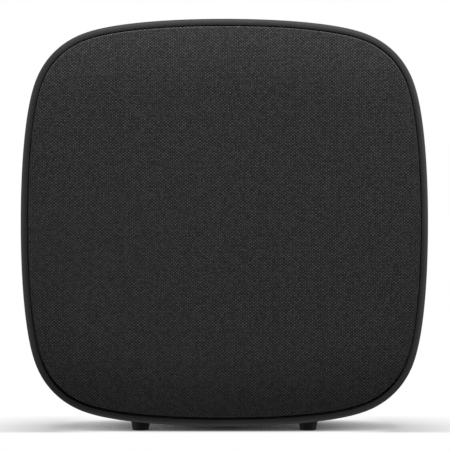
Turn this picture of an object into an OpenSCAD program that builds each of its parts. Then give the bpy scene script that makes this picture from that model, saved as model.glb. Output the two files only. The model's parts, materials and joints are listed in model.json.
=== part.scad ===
// Smart home hub: a free-standing rounded-square speaker hub with a cloth front.
// Every piece is drawn in a face frame: X to the right, Y up from the body's centre,
// Z from the back face towards the front. placed() stands that frame on the floor.

/* [Body] */
// Width and height of the body, across its widest outline
body_w = 130; // [120:1:150]
// Depth from the back face to the front of the cloth
body_d = 46; // [46:0.5:50]
// Height of the body's lowest point above the floor
foot_drop = 1.65; // [1.2:0.05:2]
// Radius of the four corner arcs of the outline
corner_r = 27.9; // [22:0.1:32]
// Radius of the four long side arcs of the outline
side_r = 259; // [220:1:400]
// How much narrower the body is at the back than at the rim
taper = 1.2; // [0.6:0.1:2]
// Radius of the rounding between the sides and the back face
back_r = 9; // [7:0.5:10]
// Thickness of the moulded walls
wall = 2; // [1.8:0.1:2.2]

/* [Rim and cloth] */
// Width of the rim as seen from the front
rim_w = 2.3; // [2:0.1:2.5]
// Depth over which the rim rounds over
rim_d = 1.7; // [1.4:0.1:2.2]
// Shadow gap between the rim and the cloth
gap = 0.25; // [0.2:0.05:0.4]
// Thickness of the cloth
cloth_t = 0.45; // [0.3:0.05:0.5]
// How far the middle of the cloth stands proud of its edge
crown = 1.8; // [1.2:0.1:2]

/* [Speaker] */
// Height of the speaker's axis above the body's centre
speaker_y = 12; // [10:0.5:13]
// Radius of the speaker's flange
flange_r = 26; // [25.8:0.1:26.5]

/* [Ports and buttons] */
// Height of the ports above the body's centre
port_y = -38; // [-38.5:0.1:-37.5]
// Height of the pairing button above the body's centre
button_y = 16; // [15:0.5:17]
// Radius of the pairing button's cap
button_r = 5; // [4:0.1:5.5]

/* [Feet] */
// Distance of each foot from the middle of the body
foot_x = 26.9; // [24:0.1:30]
// Radius of a foot on the floor
foot_r = 2.6; // [2.3:0.05:2.8]

/* [Hidden] */
$fn = 64;
slack = 0.05;                          // clearance between pieces that are assembled, not moulded
cut = 1;                               // how far a cutting shape runs past a face
side_steps = 8;                        // segments in each side arc
corner_steps = 12;                     // segments in each corner arc
centre_z = foot_drop + body_w / 2;

// depths along the body, measured from the back face
back_z = back_r;                       // where the back rounding ends
seam_z = 20;                           // front edge of the rear housing
seam_gap = 0.3;
tongue = 2.5;                          // height of the lip that locates the two shells
rim_front = body_d - 2.4;              // crest of the rim
rim_z = rim_front - rim_d;             // widest outline, where the rim starts to round over
rim_crest = 0.88 * rim_w;              // how far in the rim's crest lies
groove = 0.3;                          // depth of the gap beside the cloth, below the crest
ledge_z = rim_front - 2.8;             // front of the ledge that the grille panel sits on
ledge_t = 2;
crown_reach = 22;                      // distance from the edge over which the cloth rises
ledge_in = 9;                          // how far in the ledge reaches
board_z = 17.4;                        // rear face of the circuit board
board_t = 1.6;
baffle_z = 33.6;                       // rear face of the speaker baffle
baffle_t = 2;
pocket_z = 3;                          // floor of the port pocket
port_len = board_z - pocket_z;
boss_r = 3.4;
boss_xy = 42;                          // case screw bosses, from the body's centre
pad_x = 53.5;                          // baffle pads, from the body's centre
pad_y = 20;
post_x = 33;                           // board posts
post_y = [-46, 26];
power_x = 16;
ethernet_x = -14;
usb_x = 2.5;
usb_y = port_y - 3;
reset_y = port_y + 5;
front_foot_z = 37.2;                   // between the baffle and the ledge
rear_foot_z = 13;
foot_top = foot_drop + 2.2;            // height of the front feet's flange above the floor
rear_foot_top = foot_drop + 3.3;
foot_flare = 0.65;                     // how much wider a foot is at its flange
stud_r = 1.1;                          // the stud that pushes through the shell's wall
stud_len = 1.6;                        // from the flange to the barb behind the wall
barb_r = 1.5;

// screws: case screws join the two shells, small screws hold the board, baffle and speaker
case_pilot_r = 1.25;
small_pilot_r = 0.95;
well_r = 3.2;                          // wells in the back for the case screws' heads
well_z = 4.6;
pad_r = 3.2;                           // baffle pads
post_r = 2.6;                          // board posts

// back face
port_pocket = [60, 22];
slot_pitch = 5;                        // cooling slots
slot_size = [2, 16];
slot_y = 38;
label_size = [50, 20];
label_y = -10;
ethernet_size = [16, 13.6];
power_size = [9, 11];
usb_size = [9.1, 3.4];
port_room = 0.2;                       // how much larger each port's opening is than the port
button_flange = 1;                     // how far the pairing button's flange reaches past its cap

black = [0.06, 0.06, 0.065];
dark = [0.13, 0.13, 0.135];
steel = [0.66, 0.67, 0.69];
gold = [0.80, 0.64, 0.30];
green = [0.05, 0.22, 0.12];

// ---- outline: four long side arcs and four corner arcs, tangent to one another ----
rise = side_r - body_w / 2;            // side arc centre, from the body's centre
corner_c = (sqrt(2 * pow(side_r - corner_r, 2) - rise * rise) - rise) / 2;
half_angle = asin(corner_c / (side_r - corner_r));

function turn(p, a) = [p.x * cos(a) - p.y * sin(a), p.x * sin(a) + p.y * cos(a)];
function arc(c, r, a0, a1, steps) =
    [for (i = [0:steps - 1]) let (a = a0 + (a1 - a0) * i / steps) c + r * [cos(a), sin(a)]];
// one quarter, counter-clockwise: the right-hand side arc, then the upper right corner arc
function quarter(inset) = concat(
    arc([-rise, 0], side_r - inset, -half_angle, half_angle, side_steps),
    arc([corner_c, corner_c], corner_r - inset, half_angle, 90 - half_angle, corner_steps));
function outline(inset) =
    [for (q = [0:3]) for (p = quarter(inset)) turn(p, 90 * q)];
// how far the side wall has drawn in at depth z
function draft(z) = taper * max(0, rim_z - z) / (rim_z - back_z);

ring_n = 4 * (side_steps + corner_steps);

function ring_points(rings) =
    [for (r = rings) for (p = outline(r[0])) [p.x, p.y, r[1]]];
function wall_faces(count, closed) =
    [for (k = [0:count - (closed ? 1 : 2)]) for (i = [0:ring_n - 1])
        let (a = k * ring_n, b = ((k + 1) % count) * ring_n, j = (i + 1) % ring_n)
        [a + i, b + i, b + j, a + j]];

// solid skinned over a list of [inset, depth] rings, closed by its first and last ring
module loft(rings) {
    last = (len(rings) - 1) * ring_n;
    caps = [[for (i = [0:ring_n - 1]) i], [for (i = [ring_n - 1:-1:0]) last + i]];
    polyhedron(ring_points(rings), concat(wall_faces(len(rings), false), caps), convexity = 8);
}

// endless band: a closed [inset, depth] section carried round the outline
module band(section) {
    polyhedron(ring_points(section), wall_faces(len(section), true), convexity = 8);
}

module placed() {
    translate([0, body_d / 2, centre_z])
        rotate([90, 0, 0])
            children();
}

module slab(inset, z0, z1) {
    translate([0, 0, z0])
        linear_extrude(z1 - z0)
            polygon(outline(inset));
}

module rod(x, y, z0, z1, r) {
    translate([x, y, z0])
        cylinder(h = z1 - z0, r = r);
}

module tube(x, y, z0, z1, r_out, r_in) {
    translate([x, y, z0])
        linear_extrude(z1 - z0)
            difference() {
                circle(r_out);
                circle(r_in);
            }
}

// block centred on x, y
module block(x, y, z0, z1, w, h) {
    translate([x - w / 2, y - h / 2, z0])
        cube([w, h, z1 - z0]);
}

module at_corners(x, y) {
    for (sx = [-1, 1], sy = [-1, 1])
        translate([sx * x, sy * y, 0])
            children();
}

// pan-head screw whose head sits at z_head and whose shank runs forward
module screw(z_head, head_r, head_t, shank_r, shank_len) {
    difference() {
        union() {
            rod(0, 0, z_head, z_head + head_t, head_r);
            rod(0, 0, z_head + head_t / 2, z_head + head_t + shank_len, shank_r);
        }
        for (a = [0, 90])
            rotate(a)
                block(0, 0, z_head - cut, z_head + head_t * 0.6, head_r * 1.3, head_r * 0.28);
    }
}

// ---- shells ----
module front_housing() {
    lip = rim_w - rim_crest;
    step = rim_w + gap - slack;        // inner wall of the groove, just outside the cloth
    section = concat(
        [[draft(seam_z + seam_gap), seam_z + seam_gap], [0, rim_z]],
        [for (a = [15:15:90]) [rim_crest * (1 - cos(a)), rim_z + rim_d * sin(a)]],
        [for (a = [30:30:90]) [rim_crest + lip * sin(a), rim_front - lip * (1 - cos(a))]],
        [[rim_w, rim_front - groove], [step, rim_front - groove], [step, ledge_z],
         [ledge_in, ledge_z], [ledge_in, ledge_z - ledge_t],
         [wall + draft(ledge_z), ledge_z - ledge_t],
         [wall + draft(seam_z + seam_gap), seam_z + seam_gap]]);
    color(black)
        placed()
            difference() {
                union() {
                    band(section);
                    at_corners(boss_xy, boss_xy)
                        rod(0, 0, seam_z + seam_gap, ledge_z, boss_r);
                    for (a = [45:90:315])
                        rotate(a)
                            translate([boss_xy * sqrt(2) + boss_r - 1, -0.8, baffle_z + 4])
                                cube([12.5, 1.6, ledge_z - baffle_z - 4.5]);
                    for (sx = [-1, 1], sy = [-1, 1])
                        rod(sx * pad_x, sy * pad_y, baffle_z + baffle_t, ledge_z, pad_r);
                }
                at_corners(boss_xy, boss_xy)
                    rod(0, 0, seam_z - cut, ledge_z - 2, case_pilot_r);
                for (sx = [-1, 1], sy = [-1, 1])
                    rod(sx * pad_x, sy * pad_y, baffle_z, ledge_z - 1.5, small_pilot_r);
                for (a = [0:90:270])
                    rotate(a)
                        block(57.6, 0, ledge_z - 4, ledge_z + cut, 2.8, 9);
                for (sx = [-1, 1])
                    foot_seat(sx * foot_x, front_foot_z, foot_top);
            }
}

// flat-topped seat and stud hole for one foot, in the face frame
module foot_seat(x, z, top) {
    translate([x, top - centre_z, z])
        rotate([90, 0, 0]) {
            cylinder(h = 6, r = foot_r + foot_flare + 0.1);
            translate([0, 0, -6])
                cylinder(h = 6 + cut, r = stud_r + slack);
        }
}

module rear_housing() {
    s = draft(seam_z);
    rings = concat(
        [for (a = [90:-15:0]) [taper + back_r * (1 - cos(a)), back_z - back_r * sin(a)]],
        [[s, seam_z], [s + wall + 0.15, seam_z], [s + wall + 0.15, seam_z + tongue],
         [s + wall + 1.35, seam_z + tongue], [s + wall + 1.35, seam_z - 3],
         [draft(seam_z - 4.2) + wall, seam_z - 4.2]],
        [for (a = [0:18:90]) [taper + wall + (back_r - wall) * (1 - cos(a)),
                              back_z - (back_r - wall) * sin(a)]]);
    color(black)
        placed()
            difference() {
                union() {
                    loft(rings);
                    at_corners(boss_xy, boss_xy)
                        rod(0, 0, wall / 2, seam_z, boss_r + 0.8);
                    block(0, port_y, wall / 2, pocket_z + wall, port_pocket.x + 4, port_pocket.y + 4);
                    rod(0, button_y, wall / 2, pocket_z + 4.5, button_r + 3);
                }
                at_corners(boss_xy, boss_xy) {
                    rod(0, 0, well_z - 0.6, seam_z + cut, 1.6);
                    rod(0, 0, -cut, well_z, well_r);
                }
                // port pocket and the openings in its floor
                translate([0, port_y, -cut])
                    linear_extrude(pocket_z + cut)
                        rounded(port_pocket.x, port_pocket.y, 3);
                for (jack = [[ethernet_x, ethernet_size], [power_x, power_size]])
                    block(jack[0], port_y, -cut, seam_z, jack[1].x + port_room, jack[1].y + port_room);
                translate([usb_x, usb_y, 0])
                    linear_extrude(seam_z)
                        rounded(usb_size.x + port_room, usb_size.y + port_room, 1.7);
                rod(usb_x, reset_y, -cut, seam_z, 0.8);
                // pairing button's well, with a smaller hole for its cap
                rod(0, button_y, pocket_z - 0.6, seam_z, button_r + button_flange + 0.6);
                rod(0, button_y, -cut, pocket_z + cut, button_r + 0.2);
                // cooling slots
                for (i = [-5:5])
                    translate([i * slot_pitch, slot_y, -cut])
                        linear_extrude(wall + 2 * cut)
                            rounded(slot_size.x, slot_size.y, 0.95);
                translate([0, label_y, -cut])
                    linear_extrude(cut + 0.4)
                        rounded(label_size.x + port_room, label_size.y + port_room, 1.6);
                for (sx = [-1, 1])
                    foot_seat(sx * foot_x, rear_foot_z, rear_foot_top);
            }
}

// rectangle with round corners, built from two bars and four discs
module rounded(w, h, r) {
    square([w - 2 * r, h], center = true);
    square([w, h - 2 * r], center = true);
    for (sx = [-1, 1], sy = [-1, 1])
        translate([sx * (w / 2 - r), sy * (h / 2 - r)])
            circle(r, $fn = 32);
}

// ---- cloth front ----
cloth_in = rim_w + gap;
panel_under = body_d - crown - 2.2;    // underside of the panel near its edge
panel_middle = body_d - 3;             // underside of the panel behind the crown

// face of the cloth, d inwards from its edge
function crown_z(d) = body_d - crown * pow(1 - d / crown_reach, 2.2);
// rings of the rolled edge and the crowned face, moved in and down by t
function face_rings(t) = let (i = cloth_in + t, e = body_d - crown - t) concat(
    [[i, e - 0.9], [i + 0.12, e - 0.45], [i + 0.45, e - 0.1]],
    [for (d = [1.2, 4, 8, 14, crown_reach]) [i + d, crown_z(d) - t]]);
function backwards(list) = [for (k = [len(list) - 1:-1:0]) list[k]];

module acoustic_cloth() {
    lip = ledge_z + 0.3;
    color(dark)
        placed()
            loft(concat(backwards(face_rings(cloth_t)), [[cloth_in + cloth_t, lip]],
                        [[cloth_in, lip]], face_rings(0)));
}

module grille_panel() {
    inset = cloth_in + cloth_t + slack;
    hook_z = ledge_z - ledge_t - 1.4;
    color(black)
        placed()
            difference() {
                union() {
                    difference() {
                        loft(concat([[inset, ledge_z]], face_rings(cloth_t + slack)));
                        slab(inset + 1.8, ledge_z - cut, panel_under);
                    }
                    for (a = [0:90:270])
                        rotate(a) {
                            block(57.2, 0, hook_z, panel_under + 1, 1.2, 8);
                            block(57.8, 0, hook_z, ledge_z - ledge_t - 0.2, 1.8, 8);
                        }
                }
                slab(inset + 12, ledge_z - cut, panel_middle);
                translate([0, speaker_y, panel_middle - cut])
                    linear_extrude(body_d)
                        grille_holes();
            }
}

// honeycomb of six-sided holes over the speaker
module grille_holes() {
    pitch = 4.4;
    for (row = [-6:6], col = [-6:6]) {
        x = (col + (row % 2 == 0 ? 0 : 0.5)) * pitch;
        y = row * pitch * sin(60);
        if (norm([x, y]) < flange_r - 4)
            translate([x, y])
                circle(1.6, $fn = 6);
    }
}

// ---- speaker ----
module speaker_baffle() {
    color(dark)
        placed() {
            difference() {
                union() {
                    slab(4, baffle_z, baffle_z + baffle_t);
                    for (sx = [-1, 1], y = post_y)
                        rod(sx * post_x, y, board_z + board_t, baffle_z + 0.5, post_r);
                }
                rod(0, speaker_y, baffle_z - cut, baffle_z + 3, 24.2);
                at_corners(boss_xy, boss_xy)
                    rod(0, 0, baffle_z - cut, baffle_z + 3, boss_r + 0.5);
                for (sx = [-1, 1], sy = [-1, 1])
                    rod(sx * pad_x, sy * pad_y, baffle_z - cut, baffle_z + 3, 1.3);
                for (a = [45:90:315])
                    translate([0, speaker_y])
                        rotate(a)
                            rod(flange_r + 2, 0, baffle_z - cut, baffle_z + 3, small_pilot_r);
                rod(0, port_y - 8, baffle_z - cut, baffle_z + 3, 1.7);
                for (sx = [-1, 1], y = post_y)
                    rod(sx * post_x, y, board_z, board_z + 9, small_pilot_r);
            }
        }
}

flange_z = baffle_z + baffle_t;
module speaker_basket() {
    color(dark)
        placed()
            translate([0, speaker_y, 0])
                difference() {
                    union() {
                        tube(0, 0, flange_z, flange_z + 1.4, flange_r, 20.6);
                        for (a = [45:90:315])
                            rotate(a)
                                rod(flange_r + 2, 0, flange_z, flange_z + 1.4, 3.2);
                        rotate_extrude()
                            polygon([[20.6, flange_z], [23.6, flange_z], [23.6, flange_z - 1.2],
                                     [17.6, flange_z - 8.2], [11.2, flange_z - 8.2],
                                     [11.2, flange_z - 7], [17, flange_z - 7],
                                     [20.6, flange_z - 2.6]]);
                        block(0, -20.4, 28, 29, 8, 6.4);
                    }
                    for (a = [45:90:315])
                        rotate(a) {
                            rod(flange_r + 2, 0, flange_z - cut, flange_z + 3, 1.2);
                            block(20, 0, flange_z - 6.6, flange_z - 2.9, 12, 15);
                        }
                }
}

module speaker_gasket() {
    color(dark)
        placed()
            tube(0, speaker_y, flange_z + 1.4, panel_middle - slack, 25.2, 22.6);
}

module speaker_surround() {
    color(black)
        placed()
            translate([0, speaker_y, flange_z + 1.4])
                rotate_extrude()
                    polygon(concat([[22.4, 0], [22.4, 0.4]],
                                   [for (a = [0:20:180]) [20.9 + 1.3 * cos(a), 0.4 + 1.3 * sin(a)]],
                                   [[19.2, 0.4], [19.2, 0], [20.1, 0]],
                                   [for (a = [160:-20:20]) [20.9 + 0.85 * cos(a), 0.4 + 0.85 * sin(a)]],
                                   [[21.7, 0]]));
}

module speaker_cone() {
    color(dark)
        placed()
            translate([0, speaker_y, 0])
                rotate_extrude()
                    polygon([[9.9, 30.2], [18.4, flange_z + 0.6], [18.9, flange_z + 0.6],
                             [18.9, flange_z + 1.1], [18.2, flange_z + 1.1], [9.9, 30.9]]);
}

module dust_cap() {
    color(black)
        placed()
            translate([0, speaker_y, 0])
                rotate_extrude()
                    polygon(concat([for (a = [0:15:90]) [9.6 * cos(a), 31.6 + 2.6 * sin(a)]],
                                   [for (a = [90:-15:0]) [9.1 * cos(a), 31.6 + 2.1 * sin(a)]]));
}

module voice_coil() {
    color([0.62, 0.33, 0.18])
        placed()
            tube(0, speaker_y, 24, 31.6, 9.85, 9.45);
}

module speaker_spider() {
    color([0.55, 0.42, 0.22])
        placed()
            translate([0, speaker_y, flange_z - 7])
                rotate_extrude()
                    polygon([[10.3, 0], [12, 0.35], [13.5, 0], [15, 0.35], [16.9, 0],
                             [16.9, 0.3], [15, 0.65], [13.5, 0.3], [12, 0.65], [10.3, 0.3]]);
}

module magnet_cup() {
    color(steel)
        placed()
            difference() {
                rod(0, speaker_y, 20.6, flange_z - 8.2, 12.6);
                rod(0, speaker_y, 22, flange_z, 10.5);
            }
}

module speaker_magnet() {
    color(steel)
        placed()
            rod(0, speaker_y, 22, 25, 8.6);
}

module pole_piece() {
    color(steel)
        placed()
            rod(0, speaker_y, 25, 27, 8.9);
}

module speaker_screws() {
    color(steel)
        placed()
            for (a = [45:90:315])
                translate([0, speaker_y])
                    rotate(a)
                        translate([flange_r + 2, 0, 2 * flange_z + 2.8])
                            mirror([0, 0, 1])
                                screw(flange_z + 0.1, 2.2, 1.3, 0.9, 4.4);
}

module speaker_leads() {
    color([0.5, 0.04, 0.03])
        placed()
            for (sx = [-1, 1])
                rod(sx * 1.3, speaker_y - 20, board_z + board_t + 3.8, 28, 0.55);
}

module speaker_connector() {
    color([0.85, 0.83, 0.76])
        placed()
            block(0, speaker_y - 20, board_z + board_t, board_z + board_t + 3.8, 7, 4.8);
}

// ---- electronics ----
module main_board() {
    color(green)
        placed()
            translate([0, 0, board_z])
                linear_extrude(board_t)
                    difference() {
                        translate([0, -10])
                            rounded(74, 80, 2);
                        for (sx = [-1, 1], y = post_y)
                            translate([sx * post_x, y])
                                circle(1.2);
                    }
}

chip_x = 18;
chip_y = -6;
module processor() {
    color(black)
        placed()
            block(chip_x, chip_y, board_z - 1.4, board_z, 15, 15);
}

module thermal_pad() {
    color([0.62, 0.63, 0.68])
        placed()
            block(chip_x, chip_y, board_z - 2.2, board_z - 1.4, 15, 15);
}

module heat_sink() {
    z = board_z - 2.2;
    color([0.72, 0.73, 0.75])
        placed() {
            block(chip_x, chip_y, z - 2, z, 34, 26);
            for (i = [0:7])
                block(chip_x - 15.9 + i * 31.8 / 7, chip_y, z - 8, z - 2, 1.6, 26);
        }
}

module memory_chips() {
    color(black)
        placed()
            for (x = [11, 23])
                block(x, 19, board_z - 1.1, board_z, 9, 12);
}

module radio_shields() {
    color(steel)
        placed() {
            block(-20, -8, board_z - 2.6, board_z, 24, 20);
            block(-20, 16, board_z - 2.6, board_z, 18, 14);
        }
}

module capacitors() {
    color([0.2, 0.22, 0.26])
        placed()
            for (y = [-28, -36, -44])
                rod(28, y, board_z - 7, board_z, 3);
}

module side_antennas() {
    color(green)
        placed()
            for (sx = [-1, 1])
                block(sx * 56, 0, baffle_z - 10, baffle_z, 1, 34);
}

module top_antenna() {
    color(green)
        placed()
            block(0, 54, baffle_z - 10, baffle_z, 42, 1);
}

// thin coaxial leads from each aerial across to the board's front face
module antenna_leads() {
    z = baffle_z - 5;
    board_front = board_z + board_t;
    color(black)
        placed() {
            for (sx = [-1, 1]) {
                translate([sx * 55.5, -6, z])
                    rotate([0, -90 * sx, 0])
                        cylinder(h = 21, r = 0.5, $fn = 24);
                translate([sx * 34.5, -6, z])
                    sphere(0.6, $fn = 24);
                rod(sx * 34.5, -6, board_front, z, 0.5);
                rod(sx * 34.5, -6, board_front, board_front + 1.2, 1.2);
            }
            translate([18, 53.5, z])
                rotate([90, 0, 0])
                    cylinder(h = 27.5, r = 0.5, $fn = 24);
            translate([18, 26, z])
                sphere(0.6, $fn = 24);
            rod(18, 26, board_front, z, 0.5);
            rod(18, 26, board_front, board_front + 1.2, 1.2);
        }
}

module status_led() {
    color([0.9, 0.9, 0.85])
        placed()
            block(0, port_y - 8, board_z + board_t, board_z + board_t + 0.9, 3.2, 1.6);
}

module light_pipe() {
    color([0.85, 0.88, 0.9])
        placed()
            rod(0, port_y - 8, board_z + board_t + 1, panel_middle - slack, 1.5);
}

// ---- ports ----
module ethernet_jack() {
    z = pocket_z;
    color(steel)
        placed()
            translate([ethernet_x, port_y, 0])
                difference() {
                    block(0, 0, z, z + port_len, ethernet_size.x, ethernet_size.y);
                    block(0, -0.6, z - cut, z + 12, 11.8, 8.4);
                    block(0, 4, z - cut, z + 12, 6.4, 3.2);
                    for (sx = [-1, 1])
                        block(sx * 6.2, 4.9, z - cut, z + 1.6, 2.4, 1.6);
                }
}

module ethernet_contacts() {
    color(gold)
        placed()
            for (i = [0:7])
                translate([ethernet_x + (i - 3.5) * 1.02, port_y - 4.8, pocket_z + 2])
                    rotate([-8, 0, 0])
                        translate([-0.2, 0.05, 0])
                            cube([0.4, 0.35, 9]);
}

module link_lights() {
    color([0.75, 0.78, 0.6])
        placed()
            for (sx = [-1, 1])
                block(ethernet_x + sx * 6.2, port_y + 4.9, pocket_z + 0.1, pocket_z + 1.6, 2.4, 1.6);
}

module power_jack() {
    color(black)
        placed()
            translate([power_x, port_y, 0])
                difference() {
                    block(0, 0, pocket_z, pocket_z + port_len, power_size.x, power_size.y);
                    rod(0, 0, pocket_z - cut, pocket_z + 9.5, 2.9);
                    rod(0, 0, pocket_z + 9, pocket_z + 13, 1.0);
                }
}

module power_pin() {
    color(steel)
        placed()
            union() {
                rod(power_x, port_y, pocket_z + 1.2, pocket_z + 12.5, 0.95);
                translate([power_x, port_y, pocket_z + 1.2])
                    rotate([180, 0, 0])
                        cylinder(h = 0.5, r1 = 0.95, r2 = 0.5);
            }
}

module usb_shell() {
    color(steel)
        placed()
            translate([usb_x, usb_y, pocket_z - 0.4])
                difference() {
                    linear_extrude(port_len + 0.4)
                        rounded(usb_size.x, usb_size.y, 1.65);
                    translate([0, 0, -cut])
                        linear_extrude(7.6 + cut)
                            rounded(usb_size.x - 0.6, usb_size.y - 0.6, 1.35);
                }
}

module usb_tongue() {
    color(black)
        placed()
            block(usb_x, usb_y, pocket_z + 0.6, pocket_z + 7.2, 6.6, 0.8);
}

// ---- buttons ----
module sync_button() {
    color(black)
        placed()
            difference() {
                union() {
                    rod(0, button_y, 0.3, pocket_z + 0.2, button_r);
                    rod(0, button_y, pocket_z - 0.5, pocket_z + 0.6, button_r + button_flange);
                    rod(0, button_y, pocket_z + 0.3, board_z - 5, 2);
                }
                tube(0, button_y, -cut, 0.6, button_r * 0.56, button_r * 0.44);
            }
}

module sync_plunger() {
    color(black)
        placed()
            rod(0, button_y, board_z - 5, board_z - 2.4, 1.7);
}

module sync_switch() {
    color(steel)
        placed()
            difference() {
                block(0, button_y, board_z - 3.5, board_z, 6.2, 6.2);
                rod(0, button_y, board_z - 5, board_z - 1.2, 1.85);
            }
}

module reset_switch() {
    color(steel)
        placed()
            difference() {
                block(usb_x, reset_y, board_z - 4, board_z, 4.6, 4.2);
                rod(usb_x, reset_y, board_z - 5, board_z - 1.2, 1.2);
            }
}

module reset_plunger() {
    color(black)
        placed()
            rod(usb_x, reset_y, pocket_z + wall + 0.6, board_z - 2.2, 1.05);
}

// ---- label, screws and feet ----
module rating_label() {
    color([0.55, 0.56, 0.58])
        placed()
            translate([0, label_y, 0.12])
                linear_extrude(0.26)
                    rounded(label_size.x, label_size.y, 1.5);
}

module case_screws() {
    color(steel)
        placed()
            at_corners(boss_xy, boss_xy)
                screw(2.7, 2.8, 1.9, 1.2, 26);
}

module board_screws() {
    color(steel)
        placed()
            for (sx = [-1, 1], y = post_y)
                translate([sx * post_x, y])
                    screw(board_z - 1.4, 2.1, 1.4, 0.9, 7);
}

module baffle_screws() {
    color(steel)
        placed()
            for (sx = [-1, 1], sy = [-1, 1])
                translate([sx * pad_x, sy * pad_y])
                    screw(baffle_z - 1.4, 2.3, 1.4, 0.9, 5.4);
}

// push-in rubber foot: tapered pad on the floor, stud and barb above it
module foot(x, z, top) {
    translate([x, body_d / 2 - z, 0]) {
        cylinder(h = 0.35, r1 = foot_r - 0.3, r2 = foot_r);
        translate([0, 0, 0.35])
            cylinder(h = top - 0.35, r1 = foot_r, r2 = foot_r + foot_flare);
        translate([0, 0, top - 0.2])
            cylinder(h = stud_len + 0.2, r = stud_r);
        translate([0, 0, top + stud_len])
            cylinder(h = 1.4, r1 = barb_r, r2 = 0.8);
    }
}

module front_feet() {
    color(black)
        for (sx = [-1, 1])
            foot(sx * foot_x, front_foot_z, foot_top);
}

module rear_feet() {
    color(black)
        for (sx = [-1, 1])
            foot(sx * foot_x, rear_foot_z, rear_foot_top);
}

front_housing();
rear_housing();
grille_panel();
acoustic_cloth();
speaker_baffle();
speaker_gasket();
speaker_basket();
speaker_surround();
speaker_cone();
dust_cap();
voice_coil();
speaker_spider();
magnet_cup();
speaker_magnet();
pole_piece();
speaker_screws();
speaker_leads();
speaker_connector();
main_board();
processor();
thermal_pad();
heat_sink();
memory_chips();
radio_shields();
capacitors();
side_antennas();
top_antenna();
antenna_leads();
ethernet_jack();
ethernet_contacts();
link_lights();
power_jack();
power_pin();
usb_shell();
usb_tongue();
sync_button();
sync_switch();
sync_plunger();
reset_switch();
reset_plunger();
status_led();
light_pipe();
rating_label();
case_screws();
board_screws();
baffle_screws();
front_feet();
rear_feet();
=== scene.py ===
"""Looks of a smart home hub: a rounded-square body with a cloth front, a moulded rim and a ported back."""

import json
import math

import bpy
import numpy as np
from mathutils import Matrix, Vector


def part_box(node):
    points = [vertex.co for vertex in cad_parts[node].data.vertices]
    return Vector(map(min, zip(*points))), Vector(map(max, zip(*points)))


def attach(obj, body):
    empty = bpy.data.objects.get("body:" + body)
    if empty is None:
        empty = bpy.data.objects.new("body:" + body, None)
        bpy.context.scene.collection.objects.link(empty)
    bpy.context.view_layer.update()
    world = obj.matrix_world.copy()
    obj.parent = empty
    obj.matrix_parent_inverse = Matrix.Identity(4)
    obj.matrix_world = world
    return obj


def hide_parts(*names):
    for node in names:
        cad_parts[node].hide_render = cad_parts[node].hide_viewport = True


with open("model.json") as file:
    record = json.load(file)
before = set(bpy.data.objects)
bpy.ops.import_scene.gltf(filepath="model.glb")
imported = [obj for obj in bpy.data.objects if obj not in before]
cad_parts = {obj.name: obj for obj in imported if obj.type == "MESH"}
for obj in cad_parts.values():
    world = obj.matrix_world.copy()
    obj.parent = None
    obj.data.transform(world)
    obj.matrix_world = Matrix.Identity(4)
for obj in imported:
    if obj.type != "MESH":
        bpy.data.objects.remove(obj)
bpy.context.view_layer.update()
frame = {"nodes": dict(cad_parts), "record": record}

MM = 0.001

# ------------------------------------------------------------------ places taken from the frame
shell_low, shell_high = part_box("front_housing")
HALF = (shell_high[0] - shell_low[0]) / 2
CENTRE_Z = (shell_high[2] + shell_low[2]) / 2
BACK_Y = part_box("rear_housing")[1][1]
BODY_D = (BACK_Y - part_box("acoustic_cloth")[0][1]) / MM      # back face to cloth, in mm
SHELL_EDGE = (BACK_Y - shell_high[1]) / MM                  # rear edge of the front shell
RIM_CREST = (BACK_Y - shell_low[1]) / MM                    # foremost line of the rim

# sections of the shells, in mm: depth is measured from the back face, inset from the outline
TAPER = 1.2
BACK_ROUND = 9.0
WALL = 2.0
RIM_W = 2.3
RIM_D = 1.7
GAP = 0.25
GROOVE = 0.3
RIM_START = RIM_CREST - RIM_D
LEDGE = RIM_CREST - 2.8
LEDGE_T = 2.0
LEDGE_REACH = 9.0
SEAM = SHELL_EDGE - 0.3
TONGUE = 2.5
CROWN = 1.8
CROWN_REACH = 22.0
CROWN_POWER = 2.2
MIDDLE_SWELL = 0.12         # what the cloth still rises between the crown's end and the middle

# feet: radius at the floor, what they widen by up to the flange, and the stud with its barb
FOOT_R = 2.6
FOOT_FLARE = 0.65
TREAD_ROUND = 0.35
STUD_R = 1.1
STUD_LEN = 3.0

# places on the back, in mm from its middle, and depths from its face
SCREW_REACH = 42.0
PORT_Y = -38.0
LABEL_Y = -10.0
BUTTON_Y = 16.0
SLOT_Y = 38.0
SLOT_STEP = 5.0
PORT_RECESS = 3.0
SOCKET_END = 17.4           # the socket holes reach the board's back

# the outline's radius of curvature runs from long on the sides to short in the corners
SIDE_RADIUS = 5.636
CORNER_RADIUS = 0.3756
SIDE_WIDTH = 0.2288
SIDE_POWER = 1.284
AROUND = 360


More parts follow.
